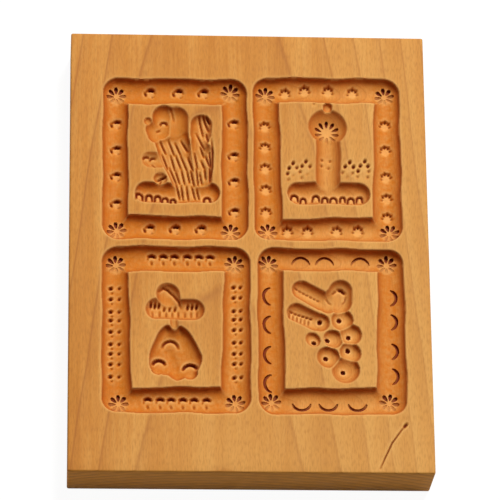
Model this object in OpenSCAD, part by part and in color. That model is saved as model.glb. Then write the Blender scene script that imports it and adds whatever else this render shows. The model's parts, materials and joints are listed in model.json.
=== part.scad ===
// Springerle mould: one hardwood plank with four pictures cut into its face.
// Each picture is sunk in a field that a gouged channel surrounds.
// The plank lies on its back: X across the grain, Y along it, Z up to the carved face.

/* [Plank] */
// Width of the plank, across the grain
plank_w = 108; // [104:1:140]
// Length of the plank, along the grain
plank_l = 140; // [132:1:180]
// Thickness of the plank
plank_t = 18; // [12:0.5:30]
// Eased arris along every edge
arris = 0.6; // [0.2:0.1:1.5]

/* [Picture blocks] */
// Width of a block, between the outer lips of its channel
block_w = 44; // [43:0.5:46]
// Length of a block, between the outer lips of its channel
block_l = 52; // [51:0.5:56]
// Bridge of plain wood between the two columns
bridge_w = 2.3; // [1:0.1:5]
// Bridge of plain wood between the two rows
bridge_l = 3.1; // [1:0.1:8]
// Plain margin left of the blocks
side_margin = 9.8; // [3:0.1:14]
// Plain margin below the blocks
foot_margin = 18.2; // [4:0.1:24]

/* [Channel] */
// Width of the gouged channel at the face
channel_w = 7.6; // [6:0.1:8]
// Depth of the channel
channel_d = 3.5; // [2:0.1:3.7]

/* [Punched borders] */
// Depth of a punch mark below the channel's floor
punch_d = 0.5; // [0.3:0.05:0.9]
// Reach of a rosette's petals from its middle
rosette_r = 2.5; // [1.8:0.1:3]
// Width of a petal
petal_w = 0.9; // [0.5:0.05:1.2]
// Radius of a crescent in the border of the grapes
crescent_r = 2.9; // [2.2:0.1:3.1]
// Width of a crescent's line
crescent_w = 0.6; // [0.4:0.05:1]

/* [Squirrel] */
// Depth of the squirrel at the middle of its body
squirrel_d = 3; // [2:0.1:3.6]
// Radius of the round floor of its body
squirrel_floor_r = 16; // [14:0.5:24]
// Width of the tail's tip
tail_tip_w = 6.4; // [5.4:0.1:6.8]
// Width of the tail's brush
tail_brush_w = 7; // [6:0.1:7.4]
// Depth of the tail
tail_d = 2.4; // [1.5:0.1:3]

/* [Tree] */
// Diameter of the tree's crown
crown_w = 12; // [9:0.1:13]
// Depth of the tree's crown
crown_d = 4.2; // [3.4:0.1:4.4]
// Width of the tree's trunk
trunk_w = 7.6; // [7.4:0.1:8.4]
// Depth of the tree's trunk
trunk_d = 3.7; // [2.2:0.1:3.7]

/* [Ground] */
// Length of the strip of ground below the squirrel and the tree
ground_l = 25.6; // [22:0.1:27]
// Width of the strip of ground
ground_w = 7.2; // [7.1:0.1:7.6]
// Depth of the strip of ground
ground_d = 3.5; // [2.6:0.1:3.5]

/* [Pear] */
// Depth of the pear at its middle
pear_d = 3.5; // [2.6:0.1:4]
// Radius of the pear's round floor
pear_floor_r = 28; // [24:0.5:40]
// Width of the pear's leaves
pear_leaf_w = 6.6; // [6.4:0.1:7.2]
// Depth of the pear's leaves
pear_leaf_d = 3; // [2:0.1:3.2]

/* [Grapes] */
// Depth of a grape, as a share of its radius
grape_d_ratio = 0.62; // [0.4:0.02:0.8]
// Diameter of the hole in a grape
pip_w = 1.5; // [1:0.1:2.2]
// Depth of the hole below the grape's floor
pip_d = 0.9; // [0.4:0.1:1.5]
// Width of a vine leaf
vine_leaf_w = 5.8; // [4.6:0.1:6.4]
// Depth of a vine leaf
vine_leaf_d = 2.2; // [1.5:0.1:2.8]

/* [Hidden] */
$fn = 64;

wood = [0.85, 0.61, 0.35];

// Least amount that one round tool mark is larger than the next, so that no two surfaces only graze
swell = 0.04;
// Height that a cutter reaches above the face
clear = 1;

// Middle of a channel, from the middle of its block
rail_y = (block_l - channel_w) / 2;
stile_x = (block_w - channel_w) / 2;

// Columns and rows of blocks
column_x = [for (i = [0, 1]) -plank_w / 2 + side_margin + block_w / 2 + i * (block_w + bridge_w)];
row_y = [for (i = [0, 1]) -plank_l / 2 + foot_margin + block_l / 2 + i * (block_l + bridge_l)];

// Radius of the round tool that leaves a cut of this half width and depth
function sweep(half_w, depth) = (half_w * half_w + depth * depth) / (2 * depth);

// Height of that tool's centre above the face
function lift(half_w, depth) = sweep(half_w, depth) - depth;

// Round hollow of radius r and depth d at [x, y] on the face
module scoop(at, r, d)
    translate([at.x, at.y, plank_t + lift(r, d)])
        sphere(r = sweep(r, d));

// Round-ended gouge stroke from one point of the face to another
module stroke(from, to, r, d) {
    run = to - from;
    tool_r = sweep(r, d);
    translate([from.x, from.y, plank_t + lift(r, d)]) {
        rotate([0, 90, atan2(run.y, run.x)])
            cylinder(r = tool_r, h = norm(run));
        for (end = [[0, 0], run])
            translate(end)
                sphere(r = tool_r + swell);
    }
}

// Channel round one block: two stiles along the grain, two rails across it, and round corners.
// It can be cut deeper all over, as the floor that punch marks reach.
module channel(deeper = 0) {
    r = sweep(channel_w / 2, channel_d) + deeper;
    translate([0, 0, plank_t + lift(channel_w / 2, channel_d)]) {
        for (side = [-1, 1]) {
            translate([side * stile_x, 0, 0])
                rotate([90, 0, 0])
                    cylinder(r = r, h = 2 * rail_y, center = true);
            translate([0, side * rail_y, 0])
                rotate([0, 90, 0])
                    cylinder(r = r - swell, h = 2 * stile_x, center = true);
            for (end = [-1, 1])
                translate([side * stile_x, end * rail_y, 0])
                    sphere(r = r + swell);
        }
    }
}

// Strip of ground that a picture stands on
module ground(y) {
    reach = (ground_l - ground_w) / 2;
    stroke([-reach, y], [reach, y], ground_w / 2, ground_d);
}

// Closed curve through hand-placed points, with this many steps from each point to the next
function curve(points, steps = 3) = [
    for (i = [0 : len(points) - 1], k = [0 : steps - 1])
        let (
            n = len(points),
            a = points[(i + n - 1) % n],
            b = points[i],
            c = points[(i + 1) % n],
            d = points[(i + 2) % n],
            t = k / steps
        )
        b + t * ((c - a) / 2 + t * ((2 * a - 5 * b + 4 * c - d) / 2 + t * (3 * b - a - 3 * c + d) / 2))
];

// Hollow with upright walls along a curve; its floor is the round shape given as the child
module hollow(points)
    intersection() {
        translate([0, 0, plank_t - 2 * channel_d])
            linear_extrude(height = 2 * channel_d + clear)
                polygon(curve(points));
        children();
    }

// Outline of one punched petal that runs outwards from the middle, between two distances
module petal(from, to)
    polygon([[from, 0], [(from + to) / 2, petal_w / 2], [to, 0], [(from + to) / 2, -petal_w / 2]]);

// Outline of a rosette
module rosette()
    for (turn = [22.5 : 45 : 360])
        rotate(turn) petal(rosette_r * 0.4, rosette_r);

// Outline of a paw mark
module paw()
    for (turn = [30, 90, 150])
        rotate(turn) petal(0.4, rosette_r * 0.75);

// Outline of two ticks side by side, across a channel along X
module ticks()
    for (y = [-1.1, 1.1])
        translate([0, y]) rotate(90) petal(-0.7, 0.7);

// Outline of a crescent that is open towards -Y
module crescent()
    difference() {
        translate([0, -1.2]) circle(r = crescent_r);
        translate([0, -1.2]) circle(r = crescent_r - crescent_w);
        translate([-crescent_r, -1.2 - 2 * crescent_r]) square(2 * crescent_r);
    }

// Punch marks in one channel: rosettes at the corners and the child this many times along its sides.
// The child is turned so that its upper side faces outwards, or is kept upright.
module punches(across, along, outwards = true)
    intersection() {
        channel(punch_d);
        linear_extrude(height = plank_t + clear) {
            for (side = [-1, 1]) {
                for (end = [-1, 1])
                    translate([side * stile_x, end * rail_y]) rosette();
                for (i = [1 : across])
                    translate([(2 * i / (across + 1) - 1) * stile_x, side * rail_y])
                        rotate(outwards && side < 0 ? 180 : 0) children();
                for (i = [1 : along])
                    translate([side * stile_x, (2 * i / (along + 1) - 1) * rail_y])
                        rotate(outwards ? -side * 90 : 0) children();
            }
        }
    }

// Squirrel sitting up, with its tail behind it
module squirrel() {
    ground(-11.3);
    // Head and body in one outline, over a round floor that leans with the body
    hollow([
        [-3.8, 17.1], [-6.6, 15.6], [-7.2, 12.6], [-9, 10.6], [-9, 8.2], [-6.4, 5.6], [-5.2, 2.4],
        [-4.2, -1.6], [-1.8, -6.6], [1, -12.6], [5, -13.6], [8.2, -12], [6.8, -7], [6.2, 0], [3.8, 6.8],
        [3.9, 12.2], [2.6, 15.6], [0.2, 16.6], [-1.6, 15.8]
    ])
        translate([-2.6, 10, plank_t + squirrel_floor_r - squirrel_d])
            rotate([0, 90, -70])
                cylinder(r = squirrel_floor_r, h = 60, center = true);
    scoop([-8.4, 12.4], 1.1, 1);
    // Tail: tip, neck and brush
    scoop([8.1, 10.9], tail_tip_w / 2, tail_d);
    stroke([8.3, 9.5], [7.7, 3.5], tail_tip_w / 2 - 0.5, tail_d - 0.3);
    stroke([8.2, 1], [7.4, -7.4], tail_brush_w / 2, tail_d + 0.1);
    // Paw and foot
    stroke([-3.6, -0.7], [-7.4, -0.6], 2.5, 1.4);
    scoop([-4.8, -6.6], 2.1, 1.6);
}

// Round-headed tree
module tree() {
    ground(-11.2);
    scoop([0.1, 10.5], crown_w / 2, crown_d);
    scoop([0.2, 11 + crown_w / 2], 1.4, 1.2);
    stroke([0, 6], [0, -10], trunk_w / 2, trunk_d);
}

// Pear hanging below two leaves
module pear() {
    scoop([-2.2, 11], 3.6, pear_leaf_d + 0.2);
    stroke([-5.7, 6.3], [5.4, 6.3], pear_leaf_w / 2, pear_leaf_d);
    stroke([-0.7, 3.4], [-0.6, 0.6], 1, 0.9);
    hollow([
        [-0.6, 0.3], [-2.8, 1], [-5.3, -1.2], [-6.5, -4], [-7.8, -8.7], [-7.8, -11.3], [-6.5, -13.4], [-3.4, -14.1],
        [-0.8, -15.7], [1.2, -16.1], [3.7, -14.6], [6.4, -13], [7.9, -9], [6.7, -6.1], [5.2, -3], [3.5, -0.6],
        [1.4, 1]
    ])
        translate([0, -8, plank_t + pear_floor_r - pear_d])
            sphere(r = pear_floor_r);
}

// Bunch of grapes below three vine leaves
module grapes() {
    leaf_r = vine_leaf_w / 2;
    // Middle and radius of each grape
    bunch = [
        [-3.6, 2.6, 2.5], [3.4, 3.3, 3.4], [5.9, -1.5, 3.4], [0.6, -2.8, 2.7],
        [-6, -3, 2], [5.4, -7, 3.3], [-1.8, -8.5, 3.1], [3.9, -12.4, 4.2]
    ];
    stroke([-8.8, 12.6], [-2.1, 9.3], leaf_r, vine_leaf_d);
    stroke([2.7, 12.4], [-1.4, 9], leaf_r + 0.5, vine_leaf_d + 0.3);
    stroke([-10.3, 5.5], [-4.4, 3], leaf_r - 0.1, vine_leaf_d - 0.2);
    for (grape = bunch) {
        depth = grape_d_ratio * grape[2];
        scoop([grape.x, grape.y], grape[2], depth);
        translate([grape.x - 0.4, grape.y + 0.2, plank_t - depth - pip_d])
            cylinder(d = pip_w, h = depth + pip_d + clear);
    }
}

// Rectangle a by b with eased corners, drawn out to length h
module eased_bar(a, b, h)
    linear_extrude(height = h, center = true)
        polygon([
            for (turn = [[1, 1], [-1, 1], [-1, -1], [1, -1]])
                for (cut = turn.x == turn.y ? [[0, arris], [arris, 0]] : [[arris, 0], [0, arris]])
                    [turn.x * (a / 2 - cut.x), turn.y * (b / 2 - cut.y)]
        ]);

// Planed plank with every edge eased
module plank()
    translate([0, 0, plank_t / 2])
        intersection() {
            eased_bar(plank_w, plank_l, plank_t);
            rotate([90, 0, 0]) eased_bar(plank_w, plank_t, plank_l);
            rotate([90, 0, 90]) eased_bar(plank_l, plank_t, plank_w);
        }

module mould_board()
    color(wood)
        difference() {
            plank();
            for (x = column_x, y = row_y)
                translate([x, y, 0]) channel();
            translate([column_x[0], row_y[1], 0]) {
                squirrel();
                punches(3, 4, outwards = false) paw();
            }
            translate([column_x[1], row_y[1], 0]) {
                tree();
                punches(4, 5, outwards = false) paw();
            }
            translate([column_x[0], row_y[0], 0]) {
                pear();
                punches(6, 9) ticks();
            }
            translate([column_x[1], row_y[0], 0]) {
                grapes();
                punches(3, 4) crescent();
            }
        }

mould_board();
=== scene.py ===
import json
import math

import bpy
import numpy as np
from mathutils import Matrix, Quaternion, Vector

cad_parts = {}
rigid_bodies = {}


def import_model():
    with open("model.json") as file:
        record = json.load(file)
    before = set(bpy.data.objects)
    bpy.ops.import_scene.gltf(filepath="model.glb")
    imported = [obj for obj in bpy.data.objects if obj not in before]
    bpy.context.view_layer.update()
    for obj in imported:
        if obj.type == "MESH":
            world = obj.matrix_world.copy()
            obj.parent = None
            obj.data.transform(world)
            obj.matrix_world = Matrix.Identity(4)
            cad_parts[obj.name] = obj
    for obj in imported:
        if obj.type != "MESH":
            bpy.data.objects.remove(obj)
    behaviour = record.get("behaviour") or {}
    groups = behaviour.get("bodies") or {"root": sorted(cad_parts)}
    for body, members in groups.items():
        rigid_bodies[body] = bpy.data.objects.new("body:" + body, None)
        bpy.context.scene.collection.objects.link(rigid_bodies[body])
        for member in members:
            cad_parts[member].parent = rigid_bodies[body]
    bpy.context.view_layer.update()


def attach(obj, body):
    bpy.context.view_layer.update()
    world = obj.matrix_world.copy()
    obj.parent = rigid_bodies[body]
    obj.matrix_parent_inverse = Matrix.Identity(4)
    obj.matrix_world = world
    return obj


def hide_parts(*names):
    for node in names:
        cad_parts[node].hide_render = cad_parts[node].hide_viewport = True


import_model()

# The plank
# One flat-sawn board of close-grained fruitwood, planed on both faces and sawn square,
# with its sharp edges rubbed round by hand. Every other form here is cut into it.
mm = 0.001
plank_w = 108.0
plank_l = 140.0
plank_t = 18.0
arris_r = 0.55


def linear(hex_colour):
    """An sRGB hex colour as the linear colour that a shader takes."""
    parts = [int(hex_colour[i:i + 2], 16) / 255 for i in (1, 3, 5)]
    return [p / 12.92 if p <= 0.04045 else ((p + 0.055) / 1.055) ** 2.4 for p in parts] + [1.0]


def add(tree, kind, sockets=None, **settings):
    """Adds one node, sets its properties, and fills or links its inputs by name or number."""
    made = tree.nodes.new(kind)
    for name, value in settings.items():
        setattr(made, name, value)
    for key, value in (sockets or {}).items():
        if isinstance(value, bpy.types.NodeSocket):
            tree.links.new(value, made.inputs[key])
        else:
            made.inputs[key].default_value = value
    return made


# Oiled fruitwood, planed and then worn smooth. It gives a warm tan with faint straight
# streaks along the length, a few wider growth lines that spread towards the foot, darker end
# grain, a deeper orange in the cuts that is partly gathered oil and partly painted shade,
# painted shade on steep walls and in struck marks, and painted highlights on the lips.
wood = bpy.data.materials.new("oiled_fruitwood")
wood.use_nodes = True
shade = wood.node_tree
shade.nodes.clear()
place = add(shade, "ShaderNodeTexCoord").outputs["Object"]
in_mm = add(shade, "ShaderNodeVectorMath", {0: place, 1: (1 / mm, 1 / mm, 1 / mm)},
            operation="MULTIPLY").outputs[0]
axes = add(shade, "ShaderNodeSeparateXYZ", {0: in_mm})

# The wood's patterns are noises drawn out along the grain: how wide, long and high a patch is in
# millimetres, and how rough. Fibres and pores are drawn larger than real ones, so that they show.
patterns = {
    "bend": (30.0, 85.0, 30.0, 2.0), "band": (8.0, 110.0, 8.0, 3.0), "fibre": (0.7, 16.0, 0.7, 3.0),
    "mottle": (2.2, 3.6, 2.2, 4.0), "pore": (0.4, 2.0, 0.4, 1.0), "torn": (4.5, 1.0, 0.8, 3.0)}
noise = {}
for name, (wide, long, high, rough) in patterns.items():
    drawn = add(shade, "ShaderNodeMapping", {"Vector": in_mm, "Scale": (1 / wide, 1 / long, 1 / high)})
    drawn = add(shade, "ShaderNodeTexNoise", {"Vector": drawn.outputs[0], "Scale": 1.0, "Detail": rough})
    noise[name] = drawn.outputs["Fac"]

# The ground colour: broad pale and dark bands, the fibres and a fine mottle, each with its share
streak = 0.0
for name, share in (("band", 0.55), ("fibre", 0.28), ("mottle", 0.17)):
    streak = add(shade, "ShaderNodeMath", {0: noise[name], 1: share, 2: streak},
                 operation="MULTIPLY_ADD").outputs[0]
tan = add(shade, "ShaderNodeValToRGB", {"Fac": streak})
tan.color_ramp.elements[0].position = 0.3
tan.color_ramp.elements[0].color = linear("#C2782A")
tan.color_ramp.elements[1].position = 0.7
tan.color_ramp.elements[1].color = linear("#E6A655")
tan.color_ramp.elements.new(0.5).color = linear("#D68E3D")

# Growth rings: the distance from the middle of the trunk, which lay far under the board and
# leant a little, so the rings meet the face in long arches and the ends in nearly level lines
pith_x = -9.0
pith_z = -100.65
trunk_taper = 0.045
ring_gap = 2.7
ring_bend = 1.3
off_x = add(shade, "ShaderNodeMath", {0: axes.outputs["X"], 1: pith_x}, operation="SUBTRACT").outputs[0]
off_x = add(shade, "ShaderNodeMath", {0: off_x, 1: off_x}, operation="MULTIPLY").outputs[0]
off_z = add(shade, "ShaderNodeMath", {0: axes.outputs["Z"], 1: pith_z}, operation="SUBTRACT").outputs[0]
off_z = add(shade, "ShaderNodeMath", {0: off_z, 1: off_z, 2: off_x}, operation="MULTIPLY_ADD").outputs[0]
ring = add(shade, "ShaderNodeMath", {0: off_z}, operation="SQRT").outputs[0]
for part, share in ((axes.outputs["Y"], trunk_taper), (noise["bend"], ring_bend)):
    ring = add(shade, "ShaderNodeMath", {0: part, 1: share, 2: ring}, operation="MULTIPLY_ADD").outputs[0]
ring = add(shade, "ShaderNodeMath", {0: ring, 1: ring_gap}, operation="DIVIDE").outputs[0]
ring = add(shade, "ShaderNodeMath", {0: ring}, operation="FRACT").outputs[0]

# Within a ring the wood darkens slowly, ends in a narrow line of late wood, and starts pale again
late_wood = add(shade, "ShaderNodeValToRGB", {"Fac": ring})
for end in late_wood.color_ramp.elements:
    end.color = (0.2, 0.2, 0.2, 1)
for at, value in ((0.06, 0.0), (0.55, 0.08), (0.9, 0.32), (0.96, 1.0)):
    late_wood.color_ramp.elements.new(at).color = (value, value, value, 1)
late_share = 0.6
late_line = add(shade, "ShaderNodeMath", {0: late_wood.outputs[0], 1: late_share},
                operation="MULTIPLY").outputs[0]

# Sapwood: the right-hand edge lay nearer the bark. It is paler, and there each ring starts
# paler still
sap_slant = -0.4
sap_from = -30.0
sap_to = 95.0
sap_share = 0.6
early_share = 0.9
sap = add(shade, "ShaderNodeMath", {0: axes.outputs["Y"], 1: sap_slant, 2: axes.outputs["X"]},
          operation="MULTIPLY_ADD").outputs[0]
sap = add(shade, "ShaderNodeMapRange", {"Value": sap, "From Min": sap_from, "From Max": sap_to,
                                        "To Max": sap_share}).outputs[0]
early_wood = add(shade, "ShaderNodeMapRange", {"Value": ring, "From Min": 0.04, "From Max": 0.6,
                                               "To Min": early_share, "To Max": 0.0}).outputs[0]
early_wood = add(shade, "ShaderNodeMath", {0: early_wood, 1: sap}, operation="MULTIPLY").outputs[0]

# Pores: fine dark flecks along the grain
pore_share = 0.5
pore = add(shade, "ShaderNodeMapRange", {"Value": noise["pore"], "From Min": 0.45, "From Max": 0.85,
                                         "To Max": pore_share}).outputs[0]

# End grain soaks up more oil and tears a little under the saw, so the two sawn ends are a
# deeper orange than the face, with darker growth lines and short dark tears
end_oil = 0.75
tear_share = 0.6
facing = add(shade, "ShaderNodeNewGeometry").outputs["True Normal"]
facing = add(shade, "ShaderNodeSeparateXYZ", {0: facing}).outputs["Y"]
at_end = add(shade, "ShaderNodeMath", {0: axes.outputs["Y"]}, operation="ABSOLUTE").outputs[0]
at_end = add(shade, "ShaderNodeMath", {0: at_end, 1: plank_l / 2 - arris_r},
             operation="GREATER_THAN").outputs[0]
end_grain = facing
for part in (facing, at_end, end_oil):
    end_grain = add(shade, "ShaderNodeMath", {0: end_grain, 1: part}, operation="MULTIPLY").outputs[0]
end_line = add(shade, "ShaderNodeMath", {0: end_grain, 1: late_wood.outputs[0]},
               operation="MULTIPLY").outputs[0]
tear = add(shade, "ShaderNodeMapRange", {"Value": noise["torn"], "From Min": 0.4, "From Max": 0.7,
                                         "To Max": tear_share}).outputs[0]
tear = add(shade, "ShaderNodeMath", {0: tear, 1: end_grain}, operation="MULTIPLY").outputs[0]

# Oil and painted light: the mesh carries how deep each point lies, how steep the cut is, how
# sharp the lip is there, and how far inside a struck mark it is. Depth gives a deeper orange that
# is partly oil and partly painted shade, steep walls and struck marks get painted shade, and
# lips get a painted highlight. The facets took the oil unevenly.
facet_scale = 0.75
wall_shade_share = 0.62
# Lips get a painted highlight, partly wear
highlight_share = 0.6
# Struck marks get painted shade
mark_shade_share = 0.95
facet = add(shade, "ShaderNodeTexNoise", {"Vector": in_mm, "Scale": facet_scale,
                                          "Detail": 2.0}).outputs["Fac"]
recess_share = add(shade, "ShaderNodeMapRange", {"Value": facet, "From Min": 0.3, "From Max": 0.7, "To Min": 0.95,
                                        "To Max": 0.4}).outputs[0]
carried = {}
oil_and_painted_light = {}
for name, share in (("recess", recess_share), ("steep", wall_shade_share), ("lip", highlight_share), ("struck", mark_shade_share)):
    carried[name] = add(shade, "ShaderNodeAttribute", attribute_name=name).outputs["Fac"]
    oil_and_painted_light[name] = add(shade, "ShaderNodeMath", {0: carried[name], 1: share}, operation="MULTIPLY").outputs[0]

# The colours lie over one another in this order, each as strong as its share says at that point
tone = tan.outputs[0]
for share, colour in (
        (early_wood, "#EBB263"), (late_line, "#A8622A"), (sap, "#E6AC5C"), (pore, "#A8682C"),
        (end_grain, "#D48A1C"), (end_line, "#8A5210"), (tear, "#94560A"), (oil_and_painted_light["recess"], "#CE7208"),
        (oil_and_painted_light["steep"], "#BE5204"), (oil_and_painted_light["lip"], "#F3BA6C"), (oil_and_painted_light["struck"], "#701600")):
    tone = add(shade, "ShaderNodeMix", {"Factor": share, 6: tone, 7: linear(colour)},
               data_type="RGBA").outputs[2]

# The fibres stand up a little where the plane crossed them, which breaks up the shine, and the
# gouge left small facets about a millimetre across on every floor that it cut
mottle_rise = 0.6
facet_rise = 5.0
rise_unit = 0.06
facet = add(shade, "ShaderNodeMath", {0: facet, 1: carried["recess"]}, operation="MULTIPLY").outputs[0]
rise = noise["fibre"]
for part, share in ((noise["mottle"], mottle_rise), (facet, facet_rise)):
    rise = add(shade, "ShaderNodeMath", {0: part, 1: share, 2: rise}, operation="MULTIPLY_ADD").outputs[0]
grain_bump = add(shade, "ShaderNodeBump", {"Strength": 0.5, "Distance": rise_unit * mm,
                                           "Height": rise}).outputs[0]
gloss = add(shade, "ShaderNodeMapRange", {"Value": noise["mottle"], "To Min": 0.62,
                                          "To Max": 0.78}).outputs[0]
surface = add(shade, "ShaderNodeBsdfPrincipled",
              {"Base Color": tone, "Roughness": gloss, "Normal": grain_bump, "Specular IOR Level": 0.2})
add(shade, "ShaderNodeOutputMaterial", {"Surface": surface.outputs[0]})

# The face before carving is a sheet of depths, one for each fifth of a millimetre. A tool
# led by hand wanders, so the cuts are laid out on a sheet whose lines waver a little.
face_w = plank_w - 2 * arris_r
face_l = plank_l - 2 * arris_r
coarsest = 4
face_cols = 31 * 2 ** coarsest + 1
face_rows = 40 * 2 ** coarsest + 1
tool_step = face_w / (face_cols - 1)
face_x = np.linspace(-face_w / 2, face_w / 2, face_cols)
face_y = np.linspace(-face_l / 2, face_l / 2, face_rows)
plain_x, plain_y = np.meshgrid(face_x, face_y)
sway_x = 0.16
sway_y = 0.18
shake = 0.06
led_x = plain_x + sway_x * np.sin(plain_y / 3.6 + 0.6 + plain_x / 17)
led_x += shake * np.sin(plain_y / 1.7 + plain_x / 5)
led_y = plain_y + sway_y * np.sin(plain_x / 3.1 + 2.1 + plain_y / 15)
led_y += shake * np.sin(plain_x / 1.6 + plain_y / 6)
depth = np.zeros((face_rows, face_cols))
patch_margin = 1.0


def patch(x0, x1, y0, y1):
    """The part of the sheet within these limits and a margin, as a pair of slices."""
    across = np.searchsorted(face_x, (x0 - patch_margin, x1 + patch_margin))
    along = np.searchsorted(face_y, (y0 - patch_margin, y1 + patch_margin))
    return slice(*along), slice(*across)


# The borders
# Round each picture runs a trench with a round floor, one gouge wide, pushed along a
# pencilled frame. The lips were never ruled, so no two sides are quite parallel.
trench_d = 3.5
trench_corner = 4.8
trenches = [
    ((-44.2, -0.3, 2.9, 55.2), ((-36.4, 10.5), (-8.4, 10.2), (-8.0, 47.1), (-36.6, 46.8))),
    ((1.5, 46.2, 3.0, 56.1), ((10.0, 9.6), (37.3, 10.7), (38.5, 48.0), (9.4, 48.2))),
    ((-44.2, 0.0, -51.8, 0.5), ((-35.4, -44.3), (-8.9, -43.6), (-7.7, -7.3), (-36.3, -7.5))),
    ((2.2, 46.2, -51.9, 0.3), ((10.2, -44.1), (37.2, -43.6), (38.4, -6.6), (9.8, -6.8))),
]
for (left, right, foot, head), field in trenches:
    spot = patch(left, right, foot, head)
    x = led_x[spot]
    y = led_y[spot]
    past_x = np.abs(x - (left + right) / 2) - (right - left) / 2 + trench_corner
    past_y = np.abs(y - (foot + head) / 2) - (head - foot) / 2 + trench_corner
    outside = np.hypot(np.maximum(past_x, 0), np.maximum(past_y, 0))
    outside += np.minimum(np.maximum(past_x, past_y), 0)
    from_lip = trench_corner - outside
    from_field = np.full(x.shape, -1e3)
    for (ax, ay), (bx, by) in zip(field, field[1:] + field[:1]):
        side = math.hypot(bx - ax, by - ay)
        from_field = np.maximum(from_field, ((by - ay) * (x - ax) - (bx - ax) * (y - ay)) / side)
    in_trench = (from_lip > 0) & (from_field > 0)
    across = np.where(in_trench, from_lip / np.where(in_trench, from_lip + from_field, 1), 0)
    depth[spot] = np.maximum(depth[spot], trench_d * np.sqrt(4 * across * (1 - across)))

# The squirrel
# A squirrel that sits on a grassy bank and holds its paws to its chest, cut hollow so that
# the dough shows it in relief. The coat is scratched with a small parting tool.
def gouge(start, stop, half_w, deep, lean=0.0):
    """A round-nosed cut along a line, or a scoop at a point; a lean sinks it towards the upper right."""
    (ax, ay), (bx, by) = start, stop
    spot = patch(min(ax, bx) - half_w, max(ax, bx) + half_w, min(ay, by) - half_w, max(ay, by) + half_w)
    x = led_x[spot] - ax
    y = led_y[spot] - ay
    run = (bx - ax) ** 2 + (by - ay) ** 2
    share = np.clip((x * (bx - ax) + y * (by - ay)) / max(run, 1e-9), 0, 1)
    off = np.hypot(x - share * (bx - ax), y - share * (by - ay))
    tool_r = (half_w ** 2 + deep ** 2) / (2 * deep)
    floor = np.sqrt(np.maximum(tool_r ** 2 - off ** 2, 0)) - (tool_r - deep) + lean * (0.6 * x + 0.8 * y)
    depth[spot] = np.maximum(depth[spot], np.where(off < half_w, floor, 0))


def hollow(corners, deep, wall, steps=5):
    """A pocket inside a smooth outline, with walls that round down to a flat floor."""
    near = np.array(corners, float)
    before = np.roll(near, 1, axis=0)
    ahead = np.roll(near, -1, axis=0)
    after = np.roll(near, -2, axis=0)
    rounds = []
    for t in np.arange(steps) / steps:
        rounds.append(near + 0.5 * t * (ahead - before)
                      + 0.5 * t ** 2 * (2 * before - 5 * near + 4 * ahead - after)
                      + 0.5 * t ** 3 * (3 * near - before - 3 * ahead + after))
    loop = np.stack(rounds, axis=1).reshape(-1, 2)
    low = loop.min(axis=0)
    high = loop.max(axis=0)
    spot = patch(low[0], high[0], low[1], high[1])
    x = led_x[spot]
    y = led_y[spot]
    nearest = np.full(x.shape, 1e6)
    within = np.zeros(x.shape, bool)
    for (ax, ay), (bx, by) in zip(loop, np.roll(loop, -1, axis=0)):
        share = ((x - ax) * (bx - ax) + (y - ay) * (by - ay)) / ((bx - ax) ** 2 + (by - ay) ** 2)
        share = np.clip(share, 0, 1)
        nearest = np.minimum(nearest, np.hypot(x - ax - share * (bx - ax), y - ay - share * (by - ay)))
        if ay != by:
            within ^= ((ay > y) != (by > y)) & (x < (bx - ax) * (y - ay) / (by - ay) + ax)
    down = np.clip(nearest / wall, 0, 1)
    depth[spot] = np.maximum(depth[spot], np.where(within, deep * np.sqrt(1 - (1 - down) ** 2), 0))


hollow([(-26.6, 36.6), (-28.2, 34.8), (-27.6, 32.4), (-26.7, 28.6), (-24.3, 23.6), (-21.9, 17.6),
        (-19.6, 15.5), (-16.6, 15.2), (-14.4, 17.0), (-15.2, 22.0), (-16.2, 28.8), (-18.0, 35.0),
        (-19.6, 38.6)], 2.9, 2.4)
# The two lobes of the head, the muzzle and the nose
gouge((-25.9, 43.0), (-26.3, 38.4), 3.4, 3.0)
gouge((-22.0, 42.2), (-21.9, 37.2), 3.7, 2.6)
gouge((-28.3, 38.9), (-27.6, 37.2), 3.0, 2.5)
gouge((-30.6, 41.3), (-30.6, 41.3), 1.2, 1.2)
# The tail from its tip to its root, the paw, the foot and the bank
gouge((-14.4, 40.2), (-14.6, 37.4), 3.3, 2.6)
gouge((-14.8, 37.6), (-15.0, 32.4), 2.6, 2.3)
gouge((-14.2, 30.8), (-14.7, 22.4), 3.6, 2.6)
gouge((-26.6, 28.7), (-29.8, 28.6), 2.6, 1.5)
gouge((-26.8, 22.4), (-26.8, 22.4), 2.1, 1.6)
gouge((-31.2, 18.0), (-12.2, 18.0), 3.3, 3.2)

# Scratches go into whatever floor the gouges left, so they have a sheet of their own
scored = np.zeros_like(depth)


def arc(x, y, r, start, stop, points=9):
    """Points along part of a circle, with angles in degrees."""
    turns = np.radians(np.linspace(start, stop, points))
    return [(x + r * math.cos(t), y + r * math.sin(t)) for t in turns]


def score(corners, half_w, deep):
    """A scratch with sloping sides along a line, shallower at its ends."""
    runs = [math.dist(a, b) for a, b in zip(corners, corners[1:])]
    done = 0.0
    for (ax, ay), (bx, by), run in zip(corners, corners[1:], runs):
        spot = patch(min(ax, bx) - half_w, max(ax, bx) + half_w, min(ay, by) - half_w, max(ay, by) + half_w)
        x = plain_x[spot] - ax
        y = plain_y[spot] - ay
        share = np.clip((x * (bx - ax) + y * (by - ay)) / run ** 2, 0, 1)
        off = np.hypot(x - share * (bx - ax), y - share * (by - ay))
        along = 2 * (done + share * run) / sum(runs) - 1
        floor = deep * (1 - 0.5 * along ** 4)
        scored[spot] = np.maximum(scored[spot], floor * np.clip(1 - off / half_w, 0, 1))
        done += run


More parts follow.
